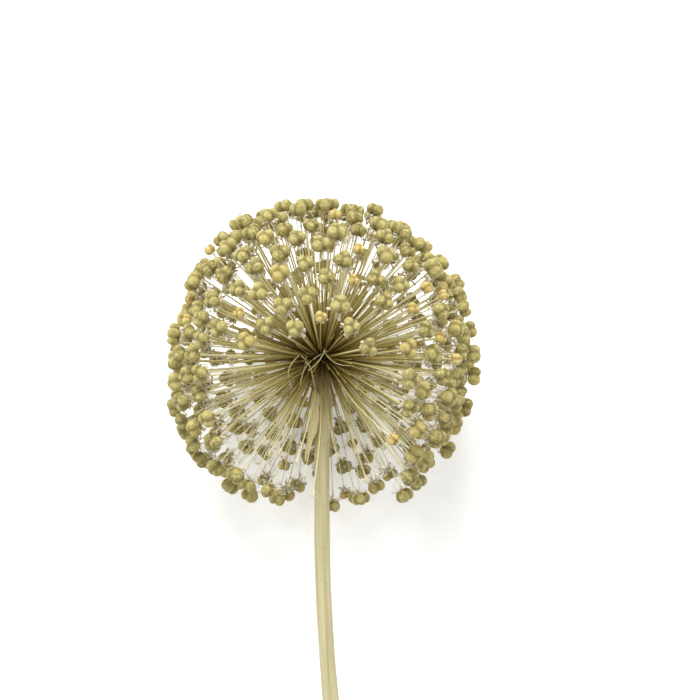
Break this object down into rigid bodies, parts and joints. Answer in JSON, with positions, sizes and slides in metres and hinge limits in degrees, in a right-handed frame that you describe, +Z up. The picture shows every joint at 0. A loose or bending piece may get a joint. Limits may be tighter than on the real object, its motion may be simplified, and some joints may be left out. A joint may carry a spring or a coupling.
{
  "type": "dried allium seed head",
  "caption": "Dried allium seed head lying on its side: a ball of stiff rays tipped with three-lobed seed capsules, on a long bare straw-coloured stalk.",
  "frame": {"origin": "middle of the box's footprint, on the surface that the seed head lies on", "axes": "+Z up from that surface; +Y from the stalk's cut end towards the flower's crown; +X to the side that the stalk's cut end bends to"},
  "size_m": [0.1278, 0.2964, 0.1262],
  "materials": {
    "stalk": "matte dry straw",
    "bract": "thin dry papery plant skin",
    "rays": "matte dry plant, olive capsules on straw rays"
  },
  "bodies": {
    "root": {"flower_stalk": "stalk", "spathe_bract_1": "bract", "spathe_bract_2": "bract", "ray_cluster_01": "rays", "ray_cluster_02": "rays", "ray_cluster_03": "rays", "ray_cluster_04": "rays", "ray_cluster_05": "rays", "ray_cluster_06": "rays", "ray_cluster_07": "rays", "ray_cluster_08": "rays", "ray_cluster_09": "rays", "ray_cluster_10": "rays", "ray_cluster_11": "rays", "ray_cluster_12": "rays", "ray_cluster_13": "rays", "ray_cluster_14": "rays", "ray_cluster_15": "rays", "ray_cluster_16": "rays", "ray_cluster_17": "rays", "ray_cluster_18": "rays", "ray_cluster_19": "rays", "ray_cluster_20": "rays", "ray_cluster_21": "rays", "ray_cluster_22": "rays", "ray_cluster_23": "rays", "ray_cluster_24": "rays", "ray_cluster_25": "rays", "ray_cluster_26": "rays", "ray_cluster_27": "rays", "ray_cluster_28": "rays", "ray_cluster_29": "rays", "ray_cluster_30": "rays", "ray_cluster_31": "rays", "ray_cluster_32": "rays", "ray_cluster_33": "rays", "ray_cluster_34": "rays", "ray_cluster_35": "rays", "ray_cluster_36": "rays", "ray_cluster_37": "rays", "ray_cluster_38": "rays", "ray_cluster_39": "rays", "ray_cluster_40": "rays", "ray_cluster_41": "rays", "ray_cluster_42": "rays", "ray_cluster_43": "rays", "ray_cluster_44": "rays"}
  },
  "joints": []
}
